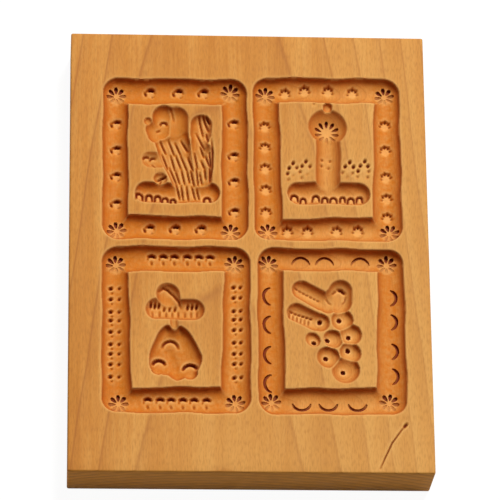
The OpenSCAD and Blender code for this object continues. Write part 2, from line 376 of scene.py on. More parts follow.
# The coat: strokes in rows down the body, then down the tail, each drawn out a little at both ends
fur_half = 0.47
fur_d = 0.8
fur_more = 0.14
for head_x, head_y, foot_x, foot_y in (
        (-26.5, 34.9, -25.2, 31.9), (-24.0, 35.3, -22.6, 31.5), (-22.0, 34.7, -20.6, 31.4),
        (-20.2, 35.5, -18.6, 32.5), (-25.9, 30.6, -24.6, 26.9), (-23.4, 30.5, -22.4, 26.6),
        (-21.8, 30.5, -20.6, 27.1), (-20.4, 30.7, -18.6, 26.1), (-18.2, 29.9, -17.0, 26.5),
        (-16.2, 30.9, -15.5, 27.1), (-23.7, 26.4, -22.0, 22.1), (-22.0, 25.7, -21.0, 22.3),
        (-20.2, 25.9, -19.4, 22.1), (-18.5, 25.6, -17.9, 22.6), (-17.4, 25.6, -16.6, 21.6),
        (-15.7, 26.1, -15.3, 21.6), (-21.8, 21.3, -20.9, 17.3), (-20.3, 20.7, -19.8, 16.9),
        (-18.7, 20.5, -18.2, 16.7), (-17.1, 20.5, -16.2, 17.1), (-15.6, 19.6, -15.0, 17.1),
        (-14.8, 42.3, -13.8, 37.8), (-13.5, 42.6, -12.2, 39.0), (-12.7, 42.8, -11.8, 41.0),
        (-15.4, 37.5, -13.6, 33.2), (-12.7, 37.4, -12.2, 35.0), (-14.5, 33.4, -13.6, 30.7),
        (-14.2, 29.0, -13.4, 26.9), (-12.9, 30.4, -11.9, 27.4), (-11.8, 30.9, -11.5, 27.0),
        (-11.8, 26.0, -11.8, 22.4), (-13.3, 26.4, -13.0, 23.4), (-14.7, 25.0, -14.2, 22.0)):
    more_x = fur_more * (head_x - foot_x)
    more_y = fur_more * (head_y - foot_y)
    score([(head_x + more_x, head_y + more_y), (foot_x - more_x, foot_y - more_y)], fur_half, fur_d)
score([(-11.3, 35.4), (-10.9, 31.5), (-11.0, 26.5), (-11.6, 22.8)], 0.5, 0.8)
# The eye, the mouth and the crease of the head
score(arc(-25.7, 40.9, 0.95, 0, 180), 0.55, 0.9)
score([(-27.9, 38.5), (-26.7, 39.2)], 0.5, 0.6)
score([(-23.7, 45.9), (-23.0, 44.0), (-22.5, 42.0)], 0.5, 0.5)
# The toes of the paw and of the foot
score(arc(-30.9, 28.6, 1.0, 40, 175), 0.5, 0.75)
score(arc(-28.9, 28.4, 1.0, 45, 175), 0.55, 0.8)
score([(-29.4, 27.4), (-28.4, 26.0)], 0.45, 0.5)
score([(-27.6, 22.0), (-26.5, 22.7), (-25.1, 23.0)], 0.55, 0.9)
score([(-26.5, 22.3), (-26.9, 20.9)], 0.5, 0.6)
tooth_d = 1.05


def tooth(x, y, r, spread, leg, half_w):
    """An arched cut on two legs, one of the row along the foot of a bank."""
    left_leg = (x - spread * r, y - leg)
    right_leg = (x + 1.1 * r, y - leg + 0.1)
    score([left_leg] + arc(x, y, r, 180, 0, 7) + [right_leg], half_w, tooth_d)


for x, y, r in ((-33.0, 17.3, 0.95), (-30.1, 17.2, 0.9), (-27.5, 17.0, 0.85), (-25.3, 16.4, 0.85),
                (-22.9, 16.1, 0.7), (-12.6, 16.6, 0.9)):
    tooth(x, y, r, 1.1, 1.5, 0.6)

# The squirrel's border has a thumbnail cut about every 9 mm: a shallow bowl under an arched stab,
# with a nick to its left and one below. The bowls have a sheet of their own too.
dished = np.zeros_like(depth)


def dish(x, y, r, deep):
    """A shallow bowl pressed into whatever floor is there."""
    spot = patch(x - r, x + r, y - r, y + r)
    off = np.hypot(plain_x[spot] - x, plain_y[spot] - y) / r
    dished[spot] = np.maximum(dished[spot], deep * np.clip(1 - off ** 2, 0, 1))


thumbnails = [(-40.0, y) for y in (41.7, 33.2, 24.6, 15.6)] + [(-4.3, y) for y in (42.3, 31.6, 23.2, 13.4)]
thumbnails += [(x, 52.2) for x in (-29.7, -21.1, -13.4)] + [(x, 7.6) for x in (-29.9, -22.2, -14.4)]
for x, y in thumbnails:
    dish(x, y - 0.5, 2.1, 0.5)
    score(arc(x, y - 0.7, 1.4, 15, 165), 0.5, 0.65)
    score([(x - 0.6, y + 0.4), (x + 0.2, y + 0.6), (x + 1.1, y + 0.3)], 0.65, 1.4)
    score([(x - 1.6, y - 0.3), (x - 1.3, y - 1.2)], 0.6, 1.0)
    score([(x + 0.3, y - 1.7), (x + 0.9, y - 1.6)], 0.5, 0.5)

# The tree
# A round-headed tree with a knob on top and a stout trunk on a bank, cut with round gouges. On
# each side are two plants, arches of dots struck with a pointed punch.
gouge((24.2, 40.0), (24.2, 40.0), 5.95, 3.5)
gouge((24.4, 46.5), (24.4, 46.5), 1.4, 1.9)
gouge((24.1, 37.0), (24.1, 20.4), 3.8, 2.9)
gouge((15.2, 18.3), (33.2, 18.3), 3.6, 3.2)
plant_middles = [(13.3, 25.4), (17.2, 25.8), (30.4, 26.0), (34.9, 26.4)]
for x, y, deep in (
        (11.8, 24.6, 1.08), (12.3, 26.4, 1.35), (13.5, 28.0, 1.35), (14.6, 26.5, 0.9), (12.0, 22.6, 0.54),
        (15.6, 25.2, 0.72), (16.2, 27.1, 1.17), (17.4, 28.6, 1.26), (18.6, 27.0, 0.9), (16.0, 23.2, 0.54),
        (28.4, 25.1, 0.63), (29.3, 27.1, 1.35), (30.7, 28.5, 1.44), (31.8, 27.0, 1.35), (31.5, 25.0, 0.54),
        (33.2, 25.7, 1.35), (33.9, 27.4, 1.35), (35.3, 28.9, 1.44), (36.2, 27.3, 1.35), (36.4, 25.6, 0.72),
        (33.0, 23.8, 0.54), (36.0, 23.7, 0.63), (13.4, 24.0, 0.36), (17.6, 24.4, 0.36), (29.9, 23.6, 0.36)):
    score([(x - 0.2, y - 0.4), (x + 0.1, y + 0.3)], 0.7, deep)
# Four dots on the trunk, the teeth of the bank and a slip of the tool over the crown
for x, y in ((22.4, 30.0), (24.8, 29.8), (22.2, 28.1), (24.3, 27.5)):
    score([(x - 0.2, y), (x + 0.3, y - 0.1)], 0.65, 0.65)
for x, y, r in ((13.9, 17.5, 1.0), (16.5, 16.9, 0.75), (20.4, 17.6, 0.95), (23.1, 17.2, 0.8),
                (25.7, 17.0, 0.95), (28.5, 17.5, 0.7), (31.0, 17.0, 0.9), (33.6, 17.4, 0.8)):
    tooth(x, y, r, 1.25, 1.4, 0.55)
score([(19.7, 47.6), (20.4, 47.6)], 0.6, 0.5)

# The tree's border has a small fan about every 7 mm: a shallow bowl with an arched stab and five
# short cuts round its upper half, deepest at the top, where the tool went in.
fan_in = 1.0
fan_out = 1.7
fans = [(5.2, y, turn) for y, turn in ((41.0, 10), (34.1, -4), (27.3, 6), (20.3, -8), (12.9, 4))]
fans += [(41.9, y, turn) for y, turn in ((41.8, -5), (33.6, 8), (24.8, 12), (17.8, 3), (11.6, -6))]
fans += [(11.5, 52.0, -8), (17.5, 52.9, 5), (24.7, 52.8, -6), (32.2, 52.4, 0)]
fans += [(11.6, 6.6, 6), (17.7, 6.7, 0), (26.5, 6.9, -9), (32.9, 7.1, -4)]
for x, y, turn in fans:
    dish(x, y, 2.0, 0.55)
    score(arc(x, y, 1.4, turn + 15, turn + 165), 0.55, 0.6)
    for angle in (-8, 41, 90, 139, 188):
        out_x = math.cos(math.radians(turn + angle))
        out_y = math.sin(math.radians(turn + angle))
        score([(x + fan_in * out_x, y + fan_in * out_y), (x + fan_out * out_x, y + fan_out * out_y)],
              0.54, 0.65 + 0.35 * out_y)

# The pear
# A pear hung under three leaves by a short stalk. Its cheeks are pushed in with a round
# gouge, and rows of stabs run along its leaves.
hollow([(-22.8, -25.6), (-25.0, -24.7), (-27.3, -26.6), (-28.5, -29.4), (-29.9, -33.4), (-29.9, -37.0),
        (-28.8, -38.9), (-26.3, -39.9), (-24.4, -40.4), (-23.0, -41.5), (-21.4, -42.0), (-18.6, -40.6),
        (-15.9, -38.9), (-14.3, -35.0), (-15.4, -32.0), (-17.0, -29.0), (-18.7, -26.3), (-20.9, -24.7)],
       3.4, 3.7)
# The middle and the two cheeks, then the stalk, the upper leaf and the pair of leaves below it
gouge((-23.9, -32.6), (-22.2, -37.8), 2.7, 3.9)
gouge((-27.2, -37.6), (-27.2, -37.6), 2.3, 2.6)
gouge((-18.1, -39.0), (-18.1, -39.0), 2.4, 2.7)
gouge((-22.9, -22.2), (-22.8, -25.2), 1.2, 1.0)
gouge((-24.4, -14.8), (-24.2, -16.4), 3.6, 2.7)
gouge((-27.9, -19.5), (-16.9, -19.4), 3.3, 2.7)
# The arches over the middle and the cheeks, the edge of the upper leaf and the rows of stabs
score(arc(-23.8, -30.9, 2.4, 5, 170), 0.65, 0.95)
score(arc(-27.1, -36.5, 1.9, 25, 165), 0.7, 1.4)
score(arc(-18.0, -38.0, 2.1, 20, 160), 0.7, 1.5)
score([(-27.3, -13.6), (-25.9, -12.4), (-24.5, -12.9), (-22.8, -14.5), (-21.5, -16.5), (-20.6, -18.4)],
      0.5, 0.7)
for stabs, low_y, high_y, lean, half_w, deep in (
        ((-29.6, -28.4, -27.2), -18.4, -17.2, 0.1, 0.58, 1.1),
        ((-18.6, -17.3, -16.0), -18.7, -17.6, 0.1, 0.58, 1.1),
        ((-25.6, -24.0, -22.4), -19.3, -18.3, 0.1, 0.55, 0.8),
        ((-29.0, -27.0, -25.0, -23.2, -21.4, -19.4, -17.6, -15.9), -21.4, -19.6, 0.0, 0.55, 0.5)):
    for x in stabs:
        score([(x - lean, low_y), (x + lean, high_y)], half_w, deep)

# The pear's border has a group of three short ticks every 3 to 4 mm: first along its upper and
# lower sides, then along its left and right ones.
for y, rise, drop, ticks in ((-1.7, 0.2, 1.6, (-29.3, -25.8, -22.5, -18.6, -15.1, -11.8)),
                             (-46.9, 0.3, 1.8, (-30.5, -26.8, -23.6, -20.1, -16.8, -13.1))):
    for x in ticks:
        score([(x - 1.0, y), (x + 0.1, y + rise), (x + 1.1, y + rise - 0.4)], 0.65, 1.3)
        score([(x - 1.0, y - 0.2), (x - 1.2, y - 1.1)], 0.5, 0.5)
        score([(x - 0.1, y - drop), (x + 0.1, y - drop - 1.0)], 0.6, 0.6)
for outer, inner, nick, nick_d, inner_d, ticks in (
        (-41.8, -39.2, -41.2, 0.6, 1.0, (-12.0, -15.4, -19.4, -22.1, -25.7, -29.6, -32.6, -35.9, -39.8)),
        (-5.1, -3.0, -4.4, 0.55, 1.2, (-11.2, -14.5, -18.7, -21.4, -24.7, -28.7, -32.2, -35.4, -39.7))):
    for y in ticks:
        score([(outer, y - 0.2), (outer + 0.6, y + 0.2)], 0.75, 1.4)
        score([(nick, y - 1.6), (nick + 0.2, y - 1.3)], 0.55, nick_d)
        score([(inner, y - 0.2), (inner + 0.4, y + 0.2)], 0.7, inner_d)

# The grapes
# A bunch of eight round berries under three vine leaves. Each berry was scooped with a
# spoon-bent gouge and has a pip drilled near its middle.
gouge((15.4, -12.9), (21.6, -16.3), 3.0, 2.6)
gouge((26.8, -13.3), (26.8, -16.8), 3.6, 2.8)
gouge((26.4, -13.6), (23.4, -17.0), 3.2, 2.4)
gouge((13.9, -20.2), (19.6, -22.8), 2.9, 2.4)
berries = [(20.8, -23.3, 2.9), (27.3, -22.6, 3.4), (29.8, -27.3, 3.4), (24.5, -28.5, 3.0), (18.4, -28.8, 2.3),
           (29.3, -32.9, 3.4), (22.7, -34.2, 3.5), (27.8, -38.3, 4.3)]
for x, y, r in berries:
    gouge((x, y), (x, y), r, 0.6 * r + 0.3, 0.28)
pips = [(20.9, -22.4), (26.6, -21.9), (18.8, -29.3), (22.9, -28.4), (29.4, -27.3), (28.9, -31.4),
        (22.2, -33.8), (27.4, -38.0)]
pip_r = 0.72
pip_d = 1.3
for x, y in pips:
    spot = patch(x - pip_r, x + pip_r, y - pip_r, y + pip_r)
    off = np.hypot(led_x[spot] - x, led_y[spot] - y)
    scored[spot] = np.maximum(scored[spot], pip_d * np.sqrt(np.maximum(1 - (off / pip_r) ** 4, 0)))
# The dotted rib of the upper leaf, the comb of the lower one and the edge of the round one
for share in np.linspace(0.0, 0.92, 7):
    x = 13.5 + 7.0 * share
    y = -11.9 - 3.8 * share
    score([(x, y), (x + 0.8, y - 0.4)], 0.45, 0.6)
for share in np.linspace(0.0, 0.92, 6):
    x = 11.9 + 6.2 * share
    y = -19.4 - 2.1 * share
    score([(x, y), (x + 0.9, y - 0.2)], 0.5, 0.75)
    score([(x - 0.1, y - 0.5), (x - 0.3, y - 2.4)], 0.5, 0.5)
score([(24.7, -13.6), (25.4, -12.8), (26.0, -12.4)], 0.5, 0.6)
score([(26.4, -12.0), (27.4, -12.2), (28.5, -13.2)], 0.7, 1.1)
score([(28.6, -14.2), (28.4, -15.6), (27.6, -16.6)], 0.45, 0.5)
score([(22.8, -15.2), (23.5, -16.2), (24.3, -16.8)], 0.45, 0.5)

# The grapes' border has crescents cut with the end of a curved gouge, backs outwards, and finer
# along the upper side. They are gathered as lines here and cut once the board is a solid.
crescents = []
crescent_step = 0.4


def crescent(x, y, r, back, half_turn, half_w, deep):
    """One crescent, its back at that angle, as points no farther apart than the step."""
    corners = arc(x, y, r, back - half_turn, back + half_turn, 13)
    points = [corners[0]]
    for (ax, ay), (bx, by) in zip(corners, corners[1:]):
        steps = math.ceil(math.hypot(bx - ax, by - ay) / crescent_step)
        points += [(ax + (bx - ax) * k / steps, ay + (by - ay) * k / steps) for k in range(1, steps + 1)]
    crescents.append((points, half_w, deep))


for x in (15.5, 22.7, 33.4):
    crescent(x, -4.4, 2.8, 90, 78, 0.44, 0.7)
for x in (15.1, 23.0, 31.7):
    crescent(x, -47.0, 2.8, 270, 78, 0.54, 0.85)
for y in (-13.9, -22.9, -32.5, -41.4):
    crescent(7.0, y, 2.85, 180, 76, 0.54, 0.85)
for y in (-14.1, -21.8, -31.1, -38.9):
    crescent(41.4, y, 2.6, 0, 72, 0.54, 0.85)

# A scratch that a knife left in the bare wood below the pictures, from a small dent
score([(45.0, -55.8), (45.9, -54.7)], 0.65, 1.1)
score([(45.6, -55.0), (44.0, -57.0), (41.4, -60.6), (39.2, -65.2), (37.7, -68.6)], 0.36, 0.8)

# The carved solid
# The sheet of depths becomes one closed board: fine faces where the tool went, large flat
# ones elsewhere, and edges rounded as a rubbing with sandpaper leaves them.
def softened(sheet, reach):
    """The sheet blurred over that many millimetres."""
    steps = np.arange(-math.ceil(3 * reach / tool_step), math.ceil(3 * reach / tool_step) + 1)
    weight = np.exp(-0.5 * (steps * tool_step / reach) ** 2)
    weight /= weight.sum()
    for axis in (0, 1):
        spread = np.zeros_like(sheet)
        for step, part in zip(steps, weight):
            spread += part * np.roll(sheet, step, axis=axis)
        sheet = spread
    return sheet


lip_round = 0.14
score_round = 0.08
flatness = 0.06
carved = softened(depth, lip_round)
depth = carved + softened(dished, lip_round) + softened(scored, score_round)
depth[depth < 1e-4] = 0
cell_level = np.zeros((face_rows - 1, face_cols - 1), int)
for level in range(1, coarsest + 1):
    size = 2 ** level
    worst = np.zeros(((face_rows - 1) // size, (face_cols - 1) // size))
    low_left = depth[:-1:size, :-1:size]
    low_right = depth[:-1:size, size::size]
    up_left = depth[size::size, :-1:size]
    up_right = depth[size::size, size::size]
    for j in range(size + 1):
        for i in range(size + 1):
            u = i / size
            v = j / size
            flat = (low_left * (1 - u) + low_right * u) * (1 - v) + (up_left * (1 - u) + up_right * u) * v
            seen = depth[j:face_rows - size + j:size, i:face_cols - size + i:size]
            worst = np.maximum(worst, np.abs(seen - flat))
    fits = np.kron(worst < flatness, np.ones((size, size), bool))
    cell_level[fits] = level
changed = True
while changed:
    changed = False
    beside = np.pad(cell_level, 1, mode="edge")
    beside = np.minimum.reduce([beside[:-2, 1:-1], beside[2:, 1:-1], beside[1:-1, :-2], beside[1:-1, 2:]])
    for level in range(coarsest, 1, -1):
        size = 2 ** level
        blocks = (cell_level.shape[0] // size, size, cell_level.shape[1] // size, size)
        finest = beside.reshape(blocks).min(axis=(1, 3))
        own = cell_level.reshape(blocks).min(axis=(1, 3))
        cut_up = (own == level) & (finest < level - 1)
        if cut_up.any():
            cell_level[np.kron(cut_up, np.ones((size, size), bool))] = level - 1
            changed = True
cells = []
for level in range(coarsest + 1):
    size = 2 ** level
    own = cell_level[::size, ::size] == level
    if level:
        blocks = (cell_level.shape[0] // size, size, cell_level.shape[1] // size, size)
        own = (cell_level.reshape(blocks).min(axis=(1, 3)) == level)
    for j, i in np.argwhere(own):
        cells.append((j * size, i * size, size))
used = np.zeros(depth.shape, bool)
for j, i, size in cells:
    used[j:j + size + 1:size, i:i + size + 1:size] = True
number = np.full(depth.shape, -1)
number[used] = np.arange(used.sum())
points = np.stack([plain_x[used], plain_y[used], plank_t - depth[used]], axis=1)
faces = []
for j, i, size in cells:
    half = size // 2
    ring = [(j, i), (j, i + half), (j, i + size), (j + half, i + size),
            (j + size, i + size), (j + size, i + half), (j + size, i), (j + half, i)]
    if not half:
        ring = ring[::2]
    faces.append([number[spot] for spot in ring if number[spot] >= 0])

# The rim of the face, once round, goes over the arris, down the sides and under
last_row = face_rows - 1
last_col = face_cols - 1
rim_sides = [
    ([number[0, i] for i in range(face_cols) if used[0, i]], (0, -1)),
    ([number[j, last_col] for j in range(face_rows) if used[j, last_col]], (1, 0)),
    ([number[last_row, i] for i in range(last_col, -1, -1) if used[last_row, i]], (0, 1)),
    ([number[j, 0] for j in range(last_row, -1, -1) if used[j, 0]], (-1, 0)),
]
corner_steps = 4
rim = []
for side, (run, outward) in enumerate(rim_sides):
    for spot in run[:-1]:
        rim.append((spot, outward))
    following = rim_sides[(side + 1) % 4][1]
    for turn in range(corner_steps):
        swing = math.radians(90 * turn / corner_steps)
        rim.append((run[-1], (outward[0] * math.cos(swing) + following[0] * math.sin(swing),
                              outward[1] * math.cos(swing) + following[1] * math.sin(swing))))
points = [tuple(p) for p in points]
rings = [[spot for spot, outward in rim]]
bend_steps = 4
drops = [(90 * s / bend_steps, plank_t - arris_r) for s in range(1, bend_steps + 1)]
drops += [(90, plank_t * share) for share in (0.75, 0.5, 0.25)]
drops += [(90 + 90 * s / bend_steps, arris_r) for s in range(bend_steps + 1)]
for tilt, centre_z in drops:
    ring = []
    out = arris_r * math.sin(math.radians(tilt))
    up = arris_r * math.cos(math.radians(tilt))
    for spot, (nx, ny) in rim:
        ring.append(len(points))
        points.append((points[spot][0] + out * nx, points[spot][1] + out * ny, centre_z + up))
    rings.append(ring)
for upper, lower in zip(rings, rings[1:]):
    for k in range(len(rim)):
        following = (k + 1) % len(rim)
        ring = [upper[k], lower[k], lower[following], upper[following]]
        faces.append(list(dict.fromkeys(ring)))
under = list(dict.fromkeys(rings[-1]))
faces.append(under[::-1])
blank_mesh = bpy.data.meshes.new("mould_blank")
blank_mesh.from_pydata([[c * mm for c in p] for p in points], [], faces)
blank_mesh.update()
blank = bpy.data.objects.new("mould_blank", blank_mesh)
shown = bpy.context.scene.collection.objects
shown.link(blank)

# The struck marks
# Rosettes and crescents, driven into the carved floors with steel punches and the end of a
# curved gouge. Each is a short groove that follows the floor it was struck into.
groove = bpy.data.node_groups.new("driven_groove", "GeometryNodeTree")
for name in ("Board", "Paths"):
    groove.interface.new_socket(name, in_out="INPUT", socket_type="NodeSocketGeometry")
groove.interface.new_socket("Board", in_out="OUTPUT", socket_type="NodeSocketGeometry")
given = add(groove, "NodeGroupInput")
half_w = add(groove, "GeometryNodeInputNamedAttribute", {"Name": "half_width"}).outputs[0]
deep = add(groove, "GeometryNodeInputNamedAttribute", {"Name": "deep"}).outputs[0]
along = add(groove, "GeometryNodeSplineParameter").outputs["Factor"]
along = add(groove, "ShaderNodeMath", {0: along, 1: 2.0, 2: -1.0}, operation="MULTIPLY_ADD").outputs[0]
along = add(groove, "ShaderNodeMath", {0: along, 1: along}, operation="MULTIPLY").outputs[0]
along = add(groove, "ShaderNodeMath", {0: along, 1: along}, operation="MULTIPLY").outputs[0]
taper = add(groove, "ShaderNodeMath", {0: along, 1: -0.55, 2: 1.0}, operation="MULTIPLY_ADD").outputs[0]
width = add(groove, "ShaderNodeMath", {0: half_w, 1: taper}, operation="MULTIPLY").outputs[0]
sunk = add(groove, "ShaderNodeMath", {0: half_w, 1: deep}, operation="SUBTRACT").outputs[0]
sunk = add(groove, "ShaderNodeMath", {0: sunk, 1: taper}, operation="MULTIPLY").outputs[0]
sunk = add(groove, "ShaderNodeCombineXYZ", {"Z": sunk}).outputs[0]
floor_hit = add(groove, "GeometryNodeRaycast", {"Target Geometry": given.outputs["Board"],
                                                "Ray Direction": (0, 0, -1), "Ray Length": 0.05})
path = add(groove, "GeometryNodeSetPosition", {"Geometry": given.outputs["Paths"],
                                               "Position": floor_hit.outputs["Hit Position"], "Offset": sunk})
path = add(groove, "GeometryNodeSetCurveNormal", {"Curve": path.outputs[0]}, mode="Z_UP")
# The tool's section: a round nose below, and straight cheeks that stand clear above the wood
nose = add(groove, "GeometryNodeCurvePrimitiveCircle", {"Resolution": 8, "Radius": 1.0}).outputs[0]
above = add(groove, "GeometryNodeInputPosition").outputs[0]
above = add(groove, "ShaderNodeSeparateXYZ", {0: above}).outputs["Y"]
above = add(groove, "FunctionNodeCompare", {0: above, 1: -0.01}, operation="LESS_THAN").outputs[0]
nose = add(groove, "GeometryNodeSetPosition", {"Geometry": nose, "Selection": above,
                                               "Offset": (0, -1.2, 0)}).outputs[0]
cutter = add(groove, "GeometryNodeCurveToMesh", {"Curve": path.outputs[0], "Profile Curve": nose,
                                                 "Scale": width, "Fill Caps": True})
cut = add(groove, "GeometryNodeMeshBoolean", {"Mesh 1": given.outputs["Board"], "Mesh 2": cutter.outputs[0]},
          operation="DIFFERENCE", solver="MANIFOLD")
add(groove, "NodeGroupOutput", {"Board": cut.outputs[0]})

# Two tools drive such grooves: a punch with petals round a middle, struck at each stamp and leant a
# little away from the maker, and the end of a curved gouge, driven once for each crescent
punch = bpy.data.node_groups.new("petal_punch", "GeometryNodeTree")
gouge_end = bpy.data.node_groups.new("gouge_end", "GeometryNodeTree")
punch_inputs = [("Stamps", "NodeSocketObject"), ("Petals", "NodeSocketInt")]
for name in ("First Angle", "Angle Step", "Inner Radius", "Petal Length", "Half Width", "Deep", "Lean"):
    punch_inputs.append((name, "NodeSocketFloat"))
for tool, inputs in ((punch, punch_inputs), (gouge_end, [("Lines", "NodeSocketObject")])):
    tool.interface.new_socket("Geometry", in_out="INPUT", socket_type="NodeSocketGeometry")
    for name, kind in inputs + [("Finish", "NodeSocketMaterial")]:
        tool.interface.new_socket(name, in_out="INPUT", socket_type=kind)
    tool.interface.new_socket("Geometry", in_out="OUTPUT", socket_type="NodeSocketGeometry")
made = add(punch, "NodeGroupInput").outputs
tip = add(punch, "ShaderNodeMath", {0: made["Inner Radius"], 1: made["Petal Length"]}, operation="ADD")
start = add(punch, "ShaderNodeCombineXYZ", {"X": made["Inner Radius"]})
stop = add(punch, "ShaderNodeCombineXYZ", {"X": tip.outputs[0]})
petal = add(punch, "GeometryNodeCurvePrimitiveLine", {"Start": start.outputs[0], "End": stop.outputs[0]})
petal = add(punch, "GeometryNodeResampleCurve", {"Curve": petal.outputs[0], "Count": 5}, mode="COUNT")
turns = add(punch, "GeometryNodeMeshLine", {"Count": made["Petals"], "Offset": (0, 0, 0)})
order = add(punch, "GeometryNodeInputIndex").outputs[0]
turn = add(punch, "ShaderNodeMath", {0: order, 1: made["Angle Step"], 2: made["First Angle"]},
           operation="MULTIPLY_ADD")
turn = add(punch, "ShaderNodeCombineXYZ", {"Z": turn.outputs[0]})
petals = add(punch, "GeometryNodeInstanceOnPoints", {"Points": turns.outputs[0], "Instance": petal.outputs[0],
                                                     "Rotation": turn.outputs[0]})
petals = add(punch, "GeometryNodeRealizeInstances", {"Geometry": petals.outputs[0]})
upward = add(punch, "GeometryNodeInputPosition").outputs[0]
upward = add(punch, "ShaderNodeSeparateXYZ", {0: upward}).outputs["Y"]
lean = add(punch, "ShaderNodeMath", {0: upward, 1: made["Lean"], 2: made["Deep"]}, operation="MULTIPLY_ADD")
wedge = add(punch, "GeometryNodeSplineParameter").outputs["Factor"]
wedge = add(punch, "ShaderNodeMath", {0: wedge, 1: 0.65, 2: 0.55}, operation="MULTIPLY_ADD").outputs[0]
wedge = add(punch, "ShaderNodeMath", {0: wedge, 1: made["Half Width"]}, operation="MULTIPLY")
for name, value in (("deep", lean), ("half_width", wedge)):
    petals = add(punch, "GeometryNodeStoreNamedAttribute", {"Geometry": petals.outputs[0], "Name": name,
                                                            "Value": value.outputs[0]})
stamps = add(punch, "GeometryNodeObjectInfo", {"Object": made["Stamps"]}).outputs["Geometry"]
twist = add(punch, "GeometryNodeInputNamedAttribute", {"Name": "twist"})
twist = add(punch, "ShaderNodeCombineXYZ", {"Z": twist.outputs[0]})
struck = add(punch, "GeometryNodeInstanceOnPoints", {"Points": stamps, "Instance": petals.outputs[0],
                                                     "Rotation": twist.outputs[0]})
struck = add(punch, "GeometryNodeRealizeInstances", {"Geometry": struck.outputs[0]})

given = add(gouge_end, "NodeGroupInput").outputs
lines = add(gouge_end, "GeometryNodeObjectInfo", {"Object": given["Lines"]}).outputs["Geometry"]
lines = add(gouge_end, "GeometryNodeMeshToCurve", {"Mesh": lines})

# Both tools end alike: their grooves are cut, and the board is made real and given its wood
for tool, inputs, paths in ((punch, made, struck), (gouge_end, given, lines)):
    cut = add(tool, "GeometryNodeGroup", {"Board": inputs["Geometry"], "Paths": paths.outputs[0]},
              node_tree=groove)
    whole = add(tool, "GeometryNodeRealizeInstances", {"Geometry": cut.outputs[0]})
    whole = add(tool, "GeometryNodeSetMaterial", {"Geometry": whole.outputs[0], "Material": inputs["Finish"]})
    add(tool, "NodeGroupOutput", {"Geometry": whole.outputs[0]})

over_face = plank_t + 2.0


def stamp_points(name, spots):
    """Loose points over the face, each with the twist of the punch in degrees."""
    mesh = bpy.data.meshes.new(name)
    mesh.from_pydata([(x * mm, y * mm, over_face * mm) for x, y, twist in spots], [], [])
    twists = mesh.attributes.new("twist", "FLOAT", "POINT")
    twists.data.foreach_set("value", [math.radians(twist) for x, y, twist in spots])
    holder = bpy.data.objects.new(name, mesh)
    shown.link(holder)
    return holder


def strike(tree, name, **inputs):
    """Puts the tree on the board as a modifier, with its inputs found by their names."""
    work = blank.modifiers.new(name, "NODES")
    work.node_group = tree
    for item in tree.interface.items_tree:
        if item.in_out == "INPUT" and item.name in inputs:
            work[item.identifier] = inputs[item.name]


rosette_spots = [
    (-40.0, 50.4, 4), (-5.4, 51.6, -6), (-39.8, 6.4, 8), (-5.6, 6.1, -3),
    (5.4, 51.0, -4), (41.9, 51.3, 7), (5.7, 6.3, 0), (42.4, 6.4, 12),
    (-40.0, -4.6, 6), (-4.6, -4.2, -8), (-39.1, -48.4, 3), (-4.6, -48.0, 9),
    (5.7, -4.0, -5), (41.3, -3.8, 2), (6.1, -47.6, 7), (41.1, -47.4, -9)]
rosettes = stamp_points("rosette_stamps", rosette_spots)
crown_spot = (24.0, 39.2, 0)
crown = stamp_points("crown_stamp", [crown_spot])
line_points = []
line_edges = []
line_half = []
line_deep = []
for run, half, deep in crescents:
    first = len(line_points)
    line_points += [(x * mm, y * mm, over_face * mm) for x, y in run]
    line_edges += [(first + k, first + k + 1) for k in range(len(run) - 1)]
    line_half += [half * mm] * len(run)
    line_deep += [deep * mm] * len(run)
line_mesh = bpy.data.meshes.new("crescent_lines")
line_mesh.from_pydata(line_points, line_edges, [])
line_mesh.attributes.new("half_width", "FLOAT", "POINT").data.foreach_set("value", line_half)
line_mesh.attributes.new("deep", "FLOAT", "POINT").data.foreach_set("value", line_deep)
drawn_lines = bpy.data.objects.new("crescent_lines", line_mesh)
shown.link(drawn_lines)

strike(punch, "corner_rosettes", **{
    "Stamps": rosettes, "Petals": 8, "First Angle": math.radians(0), "Angle Step": math.radians(45),
    "Inner Radius": 0.8 * mm, "Petal Length": 2.2 * mm, "Half Width": 0.68 * mm, "Deep": 0.6 * mm,
    "Lean": 0.18, "Finish": wood})
strike(punch, "crown_rosette", **{
    "Stamps": crown, "Petals": 10, "First Angle": math.radians(18), "Angle Step": math.radians(36),
    "Inner Radius": 1.6 * mm, "Petal Length": 2.2 * mm, "Half Width": 0.6 * mm, "Deep": 0.65 * mm,
    "Lean": 0.11, "Finish": wood})
strike(gouge_end, "crescents", Lines=drawn_lines, Finish=wood)
bpy.context.view_layer.update()
worked = blank.evaluated_get(bpy.context.evaluated_depsgraph_get())
board_mesh = bpy.data.meshes.new_from_object(worked)
board_mesh.name = "carved_board"
for helper in (rosettes, crown, drawn_lines, blank):
    bpy.data.objects.remove(helper)

# The finished board
# The whole mould is this one piece. Oil has darkened the cuts, with painted shade added in them,
# and the lips carry painted highlights, partly rubbed wear, so each point of the mesh carries what
# the wood's colour needs to know.
spots = np.empty(len(board_mesh.vertices) * 3)
board_mesh.vertices.foreach_get("co", spots)
spots = spots.reshape(-1, 3) / mm
col = np.clip(np.rint((spots[:, 0] / face_w + 0.5) * (face_cols - 1)).astype(int), 0, face_cols - 1)
row = np.clip(np.rint((spots[:, 1] / face_l + 0.5) * (face_rows - 1)).astype(int), 0, face_rows - 1)
on_face = (np.abs(spots[:, 0]) < face_w / 2) & (np.abs(spots[:, 1]) < face_l / 2)
on_face &= spots[:, 2] > plank_t / 2
